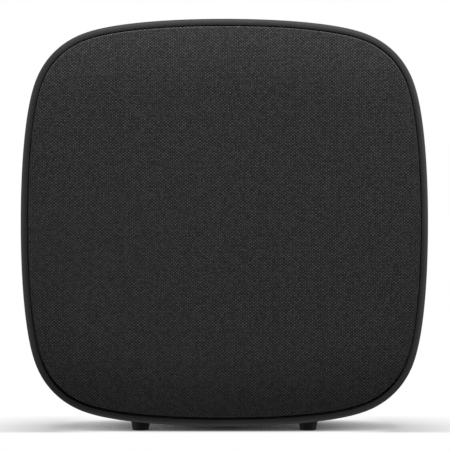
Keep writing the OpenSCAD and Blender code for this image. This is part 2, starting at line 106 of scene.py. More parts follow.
# ------------------------------------------------------------------ surfaces worked out with numpy
def outline_curve(count):
    """Points and outward normals of the body's outline, in mm, counter-clockwise from the right.

    The radius of curvature is a function of the direction that the outline faces:
    r = corner + (side - corner) * exp(-(|sin 2a| / width) ** power). The points are the
    integral of r * (-sin a, cos a) over a, spaced evenly in the mean of length and turning.
    """
    fine = 14400
    a = np.linspace(0, 2 * math.pi, fine + 1)
    mid = (a[1:] + a[:-1]) / 2
    side = np.exp(-(np.abs(np.sin(2 * mid)) / SIDE_WIDTH) ** SIDE_POWER)
    r = CORNER_RADIUS + (SIDE_RADIUS - CORNER_RADIUS) * side
    step = np.stack([-np.sin(mid) * r, np.cos(mid) * r], 1) * (a[1] - a[0])
    points = np.vstack([[0.0, 0.0], np.cumsum(step, 0)])
    points -= (points.max(0) + points.min(0)) / 2
    points *= HALF / MM / points.max(0)[0]
    length = np.concatenate([[0], np.cumsum(np.linalg.norm(step, axis=1))])
    spread = length / length[-1] + a / (2 * math.pi)
    wanted = np.linspace(0, 2, count, endpoint=False)
    turn = np.interp(wanted, spread, a)
    place = np.stack([np.interp(wanted, spread, points[:, k]) for k in (0, 1)], 1)
    return place, np.stack([np.cos(turn), np.sin(turn)], 1)


EDGE, OUTWARD = outline_curve(AROUND)


def to_world(x, y, depth):
    """Face-frame millimetres (right, up from the middle, depth from the back) to metres in the frame."""
    x, y, depth = np.broadcast_arrays(x, y, depth)
    return np.stack([x * MM, BACK_Y - depth * MM, CENTRE_Z + y * MM], -1)


def rings_of(section):
    """One ring of the outline per (inset, depth) pair of the section, as an array of rings."""
    section = np.asarray(section, float)
    flat = EDGE[None] - section[:, None, :1] * OUTWARD[None]
    return to_world(flat[..., 0], flat[..., 1], section[:, 1:])


def grid_faces(rows, columns, wrap_rows=False, wrap_columns=True):
    """Quads of a grid of vertices numbered row by row, joined to itself where wrap says so."""
    r = np.arange(rows if wrap_rows else rows - 1)[:, None]
    c = np.arange(columns if wrap_columns else columns - 1)[None]
    r2, c2 = (r + 1) % rows, (c + 1) % columns
    quads = np.stack(np.broadcast_arrays(r * columns + c, r * columns + c2,
                                         r2 * columns + c2, r2 * columns + c), -1)
    return quads.reshape(-1, 4)


def make_piece(name, points, faces, sharp=35.0):
    """A mesh object whose place is in its vertices, smooth except along edges sharper than the angle."""
    mesh = bpy.data.meshes.new(name)
    mesh.from_pydata(np.asarray(points).reshape(-1, 3).tolist(), [], [list(map(int, f)) for f in faces])
    mesh.update()
    mesh.shade_smooth()
    mesh.set_sharp_from_angle(angle=math.radians(sharp))
    piece = bpy.data.objects.new(name, mesh)
    bpy.context.scene.collection.objects.link(piece)
    return piece


def capped(rings):
    """Faces and points of a solid skinned over rings of points, closed by a flat face at each end."""
    rows, columns = rings.shape[:2]
    faces = grid_faces(rows, columns).tolist()
    faces.append(list(range(columns))[::-1])
    faces.append([(rows - 1) * columns + k for k in range(columns)])
    return rings.reshape(-1, 3), faces


def swept_band(name, section):
    """A closed (inset, depth) section carried all the way round the outline."""
    rings = rings_of(section)
    return make_piece(name, rings, grid_faces(len(section), AROUND, wrap_rows=True))


def arc(centre, radii, start, end, count):
    """Points of an ellipse's arc in a section: centre + radii * (cos t, sin t), t in degrees."""
    t = np.radians(np.linspace(start, end, count))
    return np.stack([centre[0] + radii[0] * np.cos(t), centre[1] + radii[1] * np.sin(t)], 1)


def line(start, end, count):
    """Evenly spaced points of a straight stretch of a section, without its last one."""
    return np.linspace(start, end, count, endpoint=False)


def draft(depth):
    """How far the side wall has drawn in towards the back, at a depth."""
    return TAPER * np.maximum(0.0, RIM_START - depth) / (RIM_START - BACK_ROUND)


def turned(profile, centre, axis, count=64):
    """Points and faces of a (radius, height) profile turned about an axis through centre.

    A point is centre + height * axis + radius * (cos t, sin t) across the axis.
    """
    profile = np.asarray(profile, float)
    axis = np.asarray(axis, float)
    side = np.array([1.0, 0, 0]) if abs(axis[0]) < 0.9 else np.array([0, 1.0, 0])
    up = np.cross(axis, side)
    t = np.linspace(0, 2 * math.pi, count, endpoint=False)
    spoke = np.cos(t)[:, None] * side + np.sin(t)[:, None] * up
    rings = (np.asarray(centre) + profile[:, 1, None, None] * MM * axis
             + profile[:, 0, None, None] * MM * spoke[None])
    return capped(rings)


def joined(parts):
    """Several (points, faces) pairs as one."""
    points, faces, base = [], [], 0
    for some, of_them in parts:
        points.append(some)
        faces += [[base + k for k in f] for f in of_them]
        base += len(some)
    return np.vstack(points), faces


def rounded_loop(w, h, r, steps=8):
    """A rectangle with round corners as a loop of points about the origin, counter-clockwise."""
    corners = [(1, 1, 0), (-1, 1, 90), (-1, -1, 180), (1, -1, 270)]
    out = []
    for sx, sy, start in corners:
        t = np.radians(np.linspace(start, start + 90, steps + 1))
        out.append(np.stack([sx * (w / 2 - r) + r * np.cos(t), sy * (h / 2 - r) + r * np.sin(t)], 1))
    return np.vstack(out)


def plug(w, h, r, x, y, start, mouth, end, ease=0.3):
    """A cutter for a hole in a wall that faces the back: its sides flare by a quarter round at the mouth.

    start is where the cutter begins, outside the wall; mouth is the depth of the wall's face
    and end the depth that the hole reaches. The loop grows by ease * (1 - sin t) near the mouth.
    """
    t = np.radians(np.linspace(0, 90, 5))
    grow = np.concatenate([[ease], ease * (1 - np.sin(t)), [0.0]])
    depth = np.concatenate([[start], mouth + ease * (1 - np.cos(t)), [end]])
    rings = []
    for g, d in zip(grow, depth):
        loop = rounded_loop(w + 2 * g, h + 2 * g, min(r + g, (h + 2 * g) / 2 - 1e-4, (w + 2 * g) / 2 - 1e-4))
        rings.append(to_world(x + loop[:, 0], y + loop[:, 1], d))
    return capped(np.array(rings))


def solid(parts):
    """A helper object made of separate closed shells, for use as a cutter."""
    piece = make_piece("helper", *joined(parts))
    bpy.context.view_layer.update()
    return piece


def combined(piece, steps):
    """Applies (operation, helper) pairs to a piece with exact Boolean, then drops the helpers."""
    for operation, helper in steps:
        change = piece.modifiers.new(operation, "BOOLEAN")
        change.operation = operation
        change.solver = "EXACT"
        change.object = helper
    graph = bpy.context.evaluated_depsgraph_get()
    mesh = bpy.data.meshes.new_from_object(piece.evaluated_get(graph))
    piece.modifiers.clear()
    old, piece.data = piece.data, mesh
    mesh.name = piece.name
    bpy.data.meshes.remove(old)
    for _, helper in steps:
        bpy.data.meshes.remove(helper.data)
    mesh.shade_smooth()
    mesh.set_sharp_from_angle(angle=math.radians(32))
    level = piece.modifiers.new("weighted_normal", "WEIGHTED_NORMAL")
    level.keep_sharp = True
    return piece


# ------------------------------------------------------------------ shells and cloth
def build_front_shell():
    """The outer sleeve with its rounded rim, the step that the panel sits on, and the seam's soft edge."""
    crest = 0.88 * RIM_W
    lip = RIM_W - crest
    groove = RIM_CREST - GROOVE
    step = RIM_W + GAP - 0.05
    soft = 0.25
    outside = draft(SHELL_EDGE)
    inside = WALL + draft(SHELL_EDGE)
    section = np.vstack([
        arc((outside + soft, SHELL_EDGE + soft), (soft, soft), 270, 180, 6),
        line((draft(SHELL_EDGE + 1), SHELL_EDGE + 1), (0.0, RIM_START), 12),
        arc((crest, RIM_START), (crest, RIM_D), 180, 90, 18)[:-1],
        arc((crest, RIM_CREST - lip), (lip, lip), 90, 0, 7),
        arc((RIM_W + 0.1, groove + 0.1), (0.1, 0.1), 180, 270, 4),
        [[step - 0.05, groove], [step, groove - 0.05], [step, LEDGE + 0.1], [step + 0.1, LEDGE]],
        [[LEDGE_REACH - 0.2, LEDGE], [LEDGE_REACH, LEDGE - 0.2], [LEDGE_REACH, LEDGE - LEDGE_T + 0.2],
         [LEDGE_REACH - 0.2, LEDGE - LEDGE_T], [WALL + 0.6, LEDGE - LEDGE_T],
         [WALL + 0.1, LEDGE - LEDGE_T - 0.5]],
        line((WALL + 0.1, LEDGE - LEDGE_T - 1), (inside, SHELL_EDGE + 0.2), 10),
        [[inside, SHELL_EDGE + 0.1], [inside - 0.1, SHELL_EDGE]],
    ])
    return swept_band("front_shell", section)


def crown_depth(d):
    """Depth of the cloth's face, d mm in from its edge: it rises to BODY_D over CROWN_REACH."""
    return BODY_D - CROWN * np.maximum(0.0, 1 - d / CROWN_REACH) ** CROWN_POWER


def build_cloth():
    """The cloth, stretched over the panel: a crowned face, a rolled edge and a side that runs into the gap.

    Rows run from the hem in the gap, over the roll and across the face to its middle. The face's
    rows follow the outline's offset curves for CROWN_REACH, then shrink towards the middle.
    Each point keeps its place on the flat cloth, unrolled along the section, as its UV.
    """
    edge_in = RIM_W + GAP
    roll = 0.6
    rolled = crown_depth(roll) - roll
    side = line((edge_in, LEDGE + 0.35), (edge_in, rolled), 6)
    bend = arc((edge_in + roll, rolled), (roll, roll), 180, 100, 10)
    d = np.concatenate([[0.65, 1.0], np.linspace(1.5, CROWN_REACH, 24)])
    face = np.stack([edge_in + d, crown_depth(d)], 1)
    section = np.vstack([side, bend, face])
    shrink = np.linspace(1, 0, 26)[1:-1]
    flat = EDGE[None] - section[:, None, :1] * OUTWARD[None]
    core = flat[-1][None] * shrink[:, None, None]
    depth = np.concatenate([section[:, 1], BODY_D + MIDDLE_SWELL * (1 - shrink ** 2)])
    rows = np.concatenate([flat, core])
    points = to_world(rows[..., 0], rows[..., 1], depth[:, None])
    columns = AROUND
    faces = grid_faces(len(rows), columns).tolist()
    tip = len(rows) * columns
    last = tip - columns
    faces += [[last + k, last + (k + 1) % columns, tip] for k in range(columns)]
    points = np.vstack([points.reshape(-1, 3), to_world(0.0, 0.0, BODY_D + MIDDLE_SWELL)[None]])
    piece = make_piece("cloth_front", points, faces, sharp=80)

    run = np.concatenate([[0], np.cumsum(np.linalg.norm(np.diff(section, axis=0), axis=1))])
    unrolled = edge_in + CROWN_REACH - (run[-1] - run)
    cut = EDGE[None] - unrolled[:, None, None] * OUTWARD[None]
    cut = np.concatenate([cut, core]).reshape(-1, 2)
    cut = np.vstack([cut, [[0.0, 0.0]]]) * MM
    layer = piece.data.uv_layers.new(name="flat_cloth")
    corner = np.empty(len(piece.data.loops), dtype=np.int32)
    piece.data.loops.foreach_get("vertex_index", corner)
    layer.data.foreach_set("uv", cut[corner].ravel())

    width, height = np.ptp(cut[:, 0]), np.ptp(cut[:, 1])
    hem = cut[:columns]
    area = abs(np.sum(hem[:, 0] * np.roll(hem[:, 1], -1) - hem[:, 1] * np.roll(hem[:, 0], -1))) / 2
    return piece, (float(width), float(height)), float(area)


def screw_places():
    """Places of the four case screws on the back, in mm from its middle."""
    return [(SCREW_REACH * sx, SCREW_REACH * sy) for sx in (-1, 1) for sy in (-1, 1)]


def back_bosses():
    """What stands on the back's inner side: screw posts, the port recess's walls and the button's tube."""
    post = [[0.01, 0], [4.2, 0], [4.2, SEAM - 1], [0.01, SEAM - 1]]
    posts = [turned(post, to_world(x, y, 1.0), (0, -1, 0), 48) for x, y in screw_places()]
    recess = plug(64, 26, 4, 0, PORT_Y, 1, 1, PORT_RECESS + WALL, 0.0001)
    tube = turned([[0.01, 0], [8, 0], [8, 6.5], [0.01, 6.5]], to_world(0, BUTTON_Y, 1.0), (0, -1, 0), 64)
    return posts + [recess, tube]


def back_hollows():
    """Cutters for the wide hollows: port recess, label seat, cooling slots, screw wells and button well."""
    recess = plug(60, 22, 3, 0, PORT_Y, -1, 0, PORT_RECESS, 0.45)
    label = plug(50.2, 20.2, 1.6, 0, LABEL_Y, -1, 0, 0.4, 0.12)
    slots = [plug(2, 16, 0.98, SLOT_STEP * i, SLOT_Y, -1, 0, 4.5, 0.3) for i in range(-5, 6)]
    wells = [plug(6.4, 6.4, 3.2, x, y, -1, 0, 4.6, 0.4) for x, y in screw_places()]
    return [recess, label] + slots + wells + [plug(10.4, 10.4, 5.2, 0, BUTTON_Y, -1, 0, 3.5, 0.3)]


def back_holes():
    """Cutters for the holes in those hollows: network, power, service and reset, button collar, screws."""
    start = PORT_RECESS - 0.5
    sockets = [plug(16.2, 13.8, 0.5, -14, PORT_Y, start, PORT_RECESS, SOCKET_END, 0.2),
               plug(9.2, 11.2, 0.5, 16, PORT_Y, start, PORT_RECESS, SOCKET_END, 0.2),
               plug(9.3, 3.6, 1.7, 2.5, PORT_Y - 3, start, PORT_RECESS, SOCKET_END, 0.2),
               plug(1.6, 1.6, 0.78, 2.5, PORT_Y + 5, start, PORT_RECESS, SOCKET_END, 0.25)]
    collar = plug(13.2, 13.2, 6.6, 0, BUTTON_Y, 2.4, 2.4, SOCKET_END, 0.0001)
    return sockets + [collar] + [plug(3.2, 3.2, 1.6, x, y, 4, 4, SEAM + 1, 0.0001) for x, y in screw_places()]


def build_rear_shell():
    """The back cover: a dish with a rounded back, its tongue in the seam, and all that is cut in its back."""
    soft = 0.25
    wall_in = draft(SEAM)
    edge = wall_in + WALL + 0.15
    section = np.vstack([
        arc((TAPER + BACK_ROUND, BACK_ROUND), (BACK_ROUND, BACK_ROUND), 270, 180, 20),
        line((TAPER, BACK_ROUND + 0.5), (draft(SEAM - soft), SEAM - soft), 6),
        arc((wall_in + soft, SEAM - soft), (soft, soft), 180, 90, 5),
        [[edge - 0.1, SEAM], [edge, SEAM + 0.1], [edge, SEAM + TONGUE - 0.2],
         [edge + 0.2, SEAM + TONGUE], [edge + 1.0, SEAM + TONGUE],
         [edge + 1.2, SEAM + TONGUE - 0.2], [edge + 1.2, SEAM - 3]],
        [[draft(SEAM - 4.2) + WALL, SEAM - 4.2]],
        arc((TAPER + BACK_ROUND, BACK_ROUND), (BACK_ROUND - WALL, BACK_ROUND - WALL), 180, 270, 16),
    ])
    piece = make_piece("rear_shell", *capped(rings_of(section)))
    return combined(piece, [("UNION", solid(back_bosses())), ("DIFFERENCE", solid(back_hollows())),
                            ("DIFFERENCE", solid(back_holes())), ("DIFFERENCE", foot_seats("rear_feet"))])


# ------------------------------------------------------------------ feet, button and screws
def feet_places(node):
    """Centres of a pair of feet on the floor, from the pair's box."""
    low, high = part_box(node)
    across = (high[0] - low[0]) / 2 - (high[1] - low[1]) / 2
    return [np.array([sx * across, (low[1] + high[1]) / 2, 0.0]) for sx in (-1, 1)]


def flange_height(node):
    """Height of a foot's flange, in mm: its stud stands on that."""
    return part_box(node)[1][2] / MM - STUD_LEN


def foot_seats(node):
    """Cutters for the round seats of a pair of feet and the holes of their studs."""
    top = flange_height(node)
    seat = FOOT_R + FOOT_FLARE + 0.1
    hole = STUD_R + 0.05
    end = top + STUD_LEN
    profile = [[0.01, -1], [seat, -1], [seat, top], [hole, top], [hole, end], [0.01, end]]
    return solid([turned(profile, at, (0, 0, 1), 72) for at in feet_places(node)])


def build_feet(node, name):
    """A pair of turned rubber feet: rounded tread, drawn-in waist, flange in its seat, stud and barb."""
    top = flange_height(node)
    flange = FOOT_R + FOOT_FLARE
    tread = arc((FOOT_R - TREAD_ROUND, TREAD_ROUND), (TREAD_ROUND, TREAD_ROUND), -90, 0, 8)
    h = np.linspace(TREAD_ROUND, top - 0.2, 8)[1:]
    side = np.stack([FOOT_R + FOOT_FLARE * (h - TREAD_ROUND) / (top - TREAD_ROUND), h], 1)
    rim = [[flange, top - 0.1], [flange - 0.1, top], [STUD_R + 0.15, top]]
    stud = [[STUD_R, top + 0.15], [STUD_R, top + 1.5], [1.4, top + 1.6], [1.5, top + 1.7],
            [0.9, top + STUD_LEN - 0.1], [0.75, top + STUD_LEN], [0.01, top + STUD_LEN]]
    profile = np.vstack([[[0.01, 0.12], [1.5, 0.12], [1.7, 0.0]], tread, side, rim, stud])
    return make_piece(name, *joined([turned(profile, at, (0, 0, 1)) for at in feet_places(node)]))


def build_button():
    """The pairing button: a dished cap with a round edge and a ring groove, its collar and its stem."""
    low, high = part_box("sync_button")
    at = np.array([(low[0] + high[0]) / 2, BACK_Y, (low[2] + high[2]) / 2])
    cap, collar, stem, soft = 4.98, 6.0, 2.0, 0.45
    edge = arc((cap - soft, 0.35 + soft), (soft, soft), -90, 0, 7)
    ring = arc((2.55, 0.6), (0.28, 0.3), 180, 0, 9)
    dish = [[0.01, 0.72], [1.2, 0.7], [2.1, 0.62]]
    outer = [[3.0, 0.55], [3.8, 0.45], [4.3, 0.37]]
    back = [[cap, 2.5], [collar, 2.5], [collar, 3.6], [stem, 3.6], [stem, 12.2], [stem - 0.2, 12.4],
            [0.01, 12.4]]
    profile = np.vstack([dish, ring, outer, edge, back])
    return make_piece("pairing_button", *turned(profile, at, (0, -1, 0), 96))


def build_case_screws():
    """Four pan-head screws in the back's wells: domed heads with a cross recess, and plain shanks."""
    head_r, head_depth, shank, tip = 2.75, 4.1, 1.2, 30.6
    dome = arc((0.0, head_depth), (head_r, 1.35), -89.8, -8, 10)
    rest = [[2.78, 4.35], [2.7, 4.6], [shank, 4.6], [shank, tip - 0.6], [shank - 0.3, tip], [0.01, tip]]
    profile = np.vstack([dome, rest])
    screws = [turned(profile, to_world(x, y, 0.0), (0, -1, 0), 56) for x, y in screw_places()]
    piece = make_piece("case_screw_set", *joined(screws))
    across, upright = ([plug(w, h, 0.2, x, y, 2.0, 2.0, 3.8, 0.0001) for x, y in screw_places()]
                       for w, h in ((3.0, 0.62), (0.62, 3.0)))
    return combined(piece, [("DIFFERENCE", solid(across)), ("DIFFERENCE", solid(upright))])


# ------------------------------------------------------------------ node groups
class Graph:
    """Short hand for adding nodes to one tree."""

    def __init__(self, tree):
        self.tree = tree

    def add(self, kind, **settings):
        made = self.tree.nodes.new(kind)
        for key, value in settings.items():
            setattr(made, key, value)
        return made

    def feed(self, socket, value):
        if isinstance(value, bpy.types.NodeSocket):
            self.tree.links.new(value, socket)
        else:
            socket.default_value = value

    def math(self, operation, a, b=None, clamp=False):
        made = self.add("ShaderNodeMath", operation=operation, use_clamp=clamp)
        for socket, value in zip(made.inputs, (a, b)):
            if value is not None:
                self.feed(socket, value)
        return made.outputs[0]

    def mix(self, factor, a, b, blend="MIX"):
        made = self.add("ShaderNodeMix", data_type="RGBA", blend_type=blend)
        self.feed(made.inputs[0], factor)
        self.feed(made.inputs[6], a)
        self.feed(made.inputs[7], b)
        return made.outputs[2]

    def noise(self, vector, scale, detail=3.0, roughness=0.5, distortion=0.0):
        made = self.add("ShaderNodeTexNoise")
        self.feed(made.inputs["Vector"], vector)
        for key, value in (("Scale", scale), ("Detail", detail), ("Roughness", roughness),
                           ("Distortion", distortion)):
            self.feed(made.inputs[key], value)
        return made.outputs[0]

    def bump(self, height, strength, distance):
        made = self.add("ShaderNodeBump")
        self.feed(made.inputs["Strength"], strength)
        self.feed(made.inputs["Distance"], distance)
        self.feed(made.inputs["Height"], height)
        return made.outputs[0]

    def scaled(self, vector, factors):
        made = self.add("ShaderNodeVectorMath", operation="MULTIPLY")
        self.feed(made.inputs[0], vector)
        made.inputs[1].default_value = factors
        return made.outputs[0]

    def remap(self, value, low, high, to_low, to_high):
        made = self.add("ShaderNodeMapRange")
        for socket, v in zip(made.inputs, (value, low, high, to_low, to_high)):
            self.feed(socket, v)
        return made.outputs[0]

    def place(self, group, **values):
        made = self.add("ShaderNodeGroup", node_tree=group)
        for key, value in values.items():
            self.feed(made.inputs[key.replace("_", " ").title()], value)
        return made


def new_group(name, inputs, outputs):
    """An empty node group with named sockets, as (graph, input sockets, output node)."""
    tree = bpy.data.node_groups.new(name, "ShaderNodeTree")
    for title, kind, value in inputs:
        socket = tree.interface.new_socket(title, in_out="INPUT", socket_type="NodeSocket" + kind)
        if value is not None:
            socket.default_value = value
    for title, kind in outputs:
        tree.interface.new_socket(title, in_out="OUTPUT", socket_type="NodeSocket" + kind)
    g = Graph(tree)
    return g, g.add("NodeGroupInput").outputs, g.add("NodeGroupOutput").inputs


def grain_group():
    """Moulded grain: a fine pebble and a broad unevenness, as a roughness and a normal."""
    g, i, o = new_group("moulded_grain", [
        ("Vector", "Vector", None), ("Scale", "Float", 2200.0), ("Depth", "Float", 0.2),
        ("Roughness", "Float", 0.5), ("Spread", "Float", 0.08)],
        [("Roughness", "Float"), ("Normal", "Vector")])
    pebble = g.noise(i["Vector"], i["Scale"], 2.0, 0.6)
    broad = g.noise(i["Vector"], 55.0, 4.0, 0.55)
    uneven = g.math("MULTIPLY", g.math("SUBTRACT", broad, 0.5), g.math("MULTIPLY", i["Spread"], 3.0))
    fine = g.math("MULTIPLY", g.math("SUBTRACT", pebble, 0.5), i["Spread"])
    g.feed(o["Roughness"], g.math("ADD", i["Roughness"], g.math("ADD", uneven, fine), clamp=True))
    g.feed(o["Normal"], g.bump(pebble, i["Depth"], 0.00006))
    return g.tree


def dust_group():
    """Dust and handling marks: a tint that gathers on faces turned upwards and in soft smudges."""
    g, i, o = new_group("dust_and_marks", [
        ("Vector", "Vector", None), ("Color", "Color", None), ("Dust Color", "Color", (0.2, 0.19, 0.18, 1)),
        ("Amount", "Float", 0.1)], [("Color", "Color")])
    facing = g.add("ShaderNodeSeparateXYZ")
    g.feed(facing.inputs[0], g.add("ShaderNodeNewGeometry").outputs["Normal"])
    up = g.math("POWER", g.math("MAXIMUM", facing.outputs["Z"], 0.0), 1.5)
    smudge = g.remap(g.noise(i["Vector"], 38.0, 5.0, 0.6, 0.6), 0.48, 0.78, 0.0, 0.8)
    speck = g.remap(g.noise(i["Vector"], 900.0, 2.0, 0.5), 0.62, 0.8, 0.0, 1.0)
    lies = g.math("MULTIPLY", up, g.math("ADD", 0.45, g.math("MULTIPLY", speck, 0.55)))
    mask = g.math("MULTIPLY", g.math("ADD", lies, smudge), i["Amount"], clamp=True)
    g.feed(o["Color"], g.mix(mask, i["Color"], i["Dust Color"]))
    return g.tree


def weave_group():
    """Plain weave: warp and weft yarns cross over and under one another.

    With u and v in yarns, each yarn is |sin| across its width, and its height along its length
    follows the sign of sin(pi u) sin(pi v). The higher yarn shows; each has a tone of its own.
    """
    g, i, o = new_group("plain_weave", [
        ("Vector", "Vector", None), ("Warp Pitch", "Float", 0.00056), ("Weft Pitch", "Float", 0.00046),
        ("Slub", "Float", 0.3)],
        [("Height", "Float"), ("Warp On Top", "Float"), ("Tone", "Float"), ("Fibre", "Float")])
    parts = g.add("ShaderNodeSeparateXYZ")
    wander = g.add("ShaderNodeVectorMath", operation="MULTIPLY_ADD")
    drift = g.add("ShaderNodeTexNoise")
    g.feed(drift.inputs["Vector"], i["Vector"])
    g.feed(drift.inputs["Scale"], 60.0)
    g.feed(wander.inputs[0], drift.outputs["Color"])
    wander.inputs[1].default_value = (0.00016, 0.00016, 0.0)
    g.feed(wander.inputs[2], i["Vector"])
    g.feed(parts.inputs[0], wander.outputs[0])
    u = g.math("DIVIDE", parts.outputs["X"], i["Warp Pitch"])
    v = g.math("DIVIDE", parts.outputs["Y"], i["Weft Pitch"])
    su = g.math("SINE", g.math("MULTIPLY", u, math.pi))
    sv = g.math("SINE", g.math("MULTIPLY", v, math.pi))
    across, along = g.math("ABSOLUTE", su), g.math("ABSOLUTE", sv)
    over = g.math("SIGN", g.math("MULTIPLY", su, sv))
    warp = g.math("MULTIPLY", g.math("POWER", across, 0.6),
                  g.math("ADD", 0.55, g.math("MULTIPLY", g.math("MULTIPLY", over, along), 0.45)))
    weft = g.math("MULTIPLY", g.math("POWER", along, 0.6),
                  g.math("SUBTRACT", 0.55, g.math("MULTIPLY", g.math("MULTIPLY", over, across), 0.45)))
    top = g.math("GREATER_THAN", warp, weft)
    tones = []
    for number, seed in ((u, 11.3), (v, 47.9)):
        white = g.add("ShaderNodeTexWhiteNoise", noise_dimensions="1D")
        g.feed(white.inputs["W"], g.math("ADD", g.math("FLOOR", number), seed))
        tones.append(white.outputs["Value"])
    lean = g.mix(top, tones[1], tones[0])
    fibre_warp = g.noise(g.scaled(i["Vector"], (9000.0, 1500.0, 1.0)), 1.0, 2.0, 0.6)
    fibre_weft = g.noise(g.scaled(i["Vector"], (1500.0, 9000.0, 1.0)), 1.0, 2.0, 0.6)
    fibre = g.mix(top, fibre_weft, fibre_warp)
    g.feed(o["Fibre"], fibre)
    g.feed(o["Height"], g.math("ADD", g.math("MAXIMUM", warp, weft), g.math("MULTIPLY", fibre, 0.18)))
    g.feed(o["Warp On Top"], top)
    cell = g.add("ShaderNodeCombineXYZ")
    g.feed(cell.inputs[0], g.math("FLOOR", u))
    g.feed(cell.inputs[1], g.math("FLOOR", v))
    crossing = g.add("ShaderNodeTexWhiteNoise", noise_dimensions="2D")
    g.feed(crossing.inputs["Vector"], cell.outputs[0])
    uneven = g.math("ADD", g.math("MULTIPLY", g.math("SUBTRACT", lean, 0.5), 0.3),
                    g.math("MULTIPLY", g.math("SUBTRACT", crossing.outputs["Value"], 0.5), 1.8))
    g.feed(o["Tone"], g.math("ADD", 1.0, g.math("MULTIPLY", uneven, i["Slub"])))
    return g.tree


def brush_group():
    """Drawn metal: long fine lines along one direction, as a roughness, a tone and a normal."""
    g, i, o = new_group("drawn_lines", [
        ("Vector", "Vector", None), ("Roughness", "Float", 0.3), ("Spread", "Float", 0.15),
        ("Depth", "Float", 0.15)], [("Roughness", "Float"), ("Tone", "Float"), ("Normal", "Vector")])
    lines = g.noise(g.scaled(i["Vector"], (350.0, 6000.0, 6000.0)), 1.0, 3.0, 0.6)
    stain = g.noise(i["Vector"], 120.0, 4.0, 0.6)
    rough = g.math("ADD", g.math("SUBTRACT", lines, 0.5), g.math("SUBTRACT", stain, 0.5))
    g.feed(o["Roughness"], g.math("ADD", i["Roughness"], g.math("MULTIPLY", rough, i["Spread"]), clamp=True))
    g.feed(o["Tone"], g.math("ADD", 0.8, g.math("MULTIPLY", stain, 0.4)))
    g.feed(o["Normal"], g.bump(lines, i["Depth"], 0.00003))
    return g.tree


def tracks_group():
    """Circuit board: copper tracks and lands under the green lacquer, and plated holes between them."""
    g, i, o = new_group("board_tracks", [("Vector", "Vector", None)],
                        [("Track", "Float"), ("Land", "Float"), ("Height", "Float")])
    cells = g.add("ShaderNodeTexVoronoi", feature="DISTANCE_TO_EDGE")
    g.feed(cells.inputs["Vector"], i["Vector"])
    g.feed(cells.inputs["Scale"], 420.0)
    edge = g.remap(cells.outputs["Distance"], 0.03, 0.07, 1.0, 0.0)
    dots = g.add("ShaderNodeTexVoronoi", feature="F1")
    g.feed(dots.inputs["Vector"], i["Vector"])
    g.feed(dots.inputs["Scale"], 700.0)
    land = g.remap(dots.outputs["Distance"], 0.14, 0.2, 1.0, 0.0)
    g.feed(o["Track"], edge)
    g.feed(o["Land"], land)
    g.feed(o["Height"], g.math("ADD", edge, land))
    return g.tree


# ------------------------------------------------------------------ materials
GROUPS = {"grain": grain_group(), "dust": dust_group(), "weave": weave_group(),
          "brush": brush_group(), "tracks": tracks_group()}


def start_material(name, **constants):
    """A material with its Principled shader, whose constant values go straight on its sockets."""
    material = bpy.data.materials.new(name)
    material.use_nodes = True
    tree = material.node_tree
    tree.nodes.clear()
    g = Graph(tree)
    shader = g.add("ShaderNodeBsdfPrincipled")
    g.feed(g.add("ShaderNodeOutputMaterial").inputs["Surface"], shader.outputs[0])
    for key, value in constants.items():
        shader.inputs[key.replace("_", " ").title().replace("Ior", "IOR")].default_value = value
    where = g.add("ShaderNodeTexCoord").outputs["Object"]
    return material, g, shader, where


def tint(red, green, blue):
    """A linear colour with full cover."""
    return (red, green, blue, 1.0)


def moulded(name, color, rough, scale=2200.0, depth=0.2, spread=0.08, dust=0.05, **constants):
    """Moulded plastic, rubber or foam: grain in its gloss and normal, with a little dust."""
    material, g, shader, where = start_material(name, **constants)
    grain = g.place(GROUPS["grain"], vector=where, scale=scale, depth=depth, roughness=rough, spread=spread)
    cloud = g.remap(g.noise(where, 24.0, 3.0), 0.3, 0.7, 0.0, 1.0)
    lighter = tuple(min(1.0, c * 1.25 + 0.001) for c in color[:3]) + (1.0,)
    dusty = g.place(GROUPS["dust"], vector=where, color=g.mix(cloud, color, lighter), amount=dust)
    g.feed(shader.inputs["Base Color"], dusty.outputs["Color"])
    g.feed(shader.inputs["Roughness"], grain.outputs["Roughness"])
    g.feed(shader.inputs["Normal"], grain.outputs["Normal"])
    return material


def metal(name, color, rough, spread=0.15, **constants):
    """Drawn, pressed or plated metal."""
    material, g, shader, where = start_material(name, metallic=1.0, **constants)
    lines = g.place(GROUPS["brush"], vector=where, roughness=rough, spread=spread)
    darker = tuple(c * 0.72 for c in color[:3]) + (1.0,)
    g.feed(shader.inputs["Base Color"],
           g.mix(g.remap(lines.outputs["Tone"], 0.85, 1.15, 0.0, 1.0), darker, color))
    g.feed(shader.inputs["Roughness"], lines.outputs["Roughness"])
    g.feed(shader.inputs["Normal"], lines.outputs["Normal"])
    return material


def woven(name, dark, light, warp, weft, depth, use_uv=True, slub=0.3, **constants):
    """Woven cloth: yarns in plain weave with their own tones and fibre, painted shade in the hollows between
    yarns, and a soft sheen.
    """
    material, g, shader, where = start_material(name, **constants)
    if use_uv:
        where = g.add("ShaderNodeUVMap", uv_map="flat_cloth").outputs["UV"]
    weave = g.place(GROUPS["weave"], vector=where, warp_pitch=warp, weft_pitch=weft, slub=slub)
    yarn = g.mix(weave.outputs["Warp On Top"], dark, light)
    toned = g.mix(1.0, yarn, weave.outputs["Tone"], blend="MULTIPLY")
    fibre = g.remap(weave.outputs["Fibre"], 0.2, 0.8, 0.75, 1.25)
    # Painted shade: the base colour darkens where the weave is low, between the yarns.
    hollow_shade = g.remap(weave.outputs["Height"], 0.25, 0.9, 0.35, 1.1)
    shade = g.mix(1.0, toned, g.math("MULTIPLY", fibre, hollow_shade), blend="MULTIPLY")
    g.feed(shader.inputs["Base Color"], shade)
    g.feed(shader.inputs["Roughness"], g.remap(weave.outputs["Fibre"], 0.2, 0.8, 0.8, 0.95))
    g.feed(shader.inputs["Normal"], g.bump(weave.outputs["Height"], depth, 0.00012))
    return material


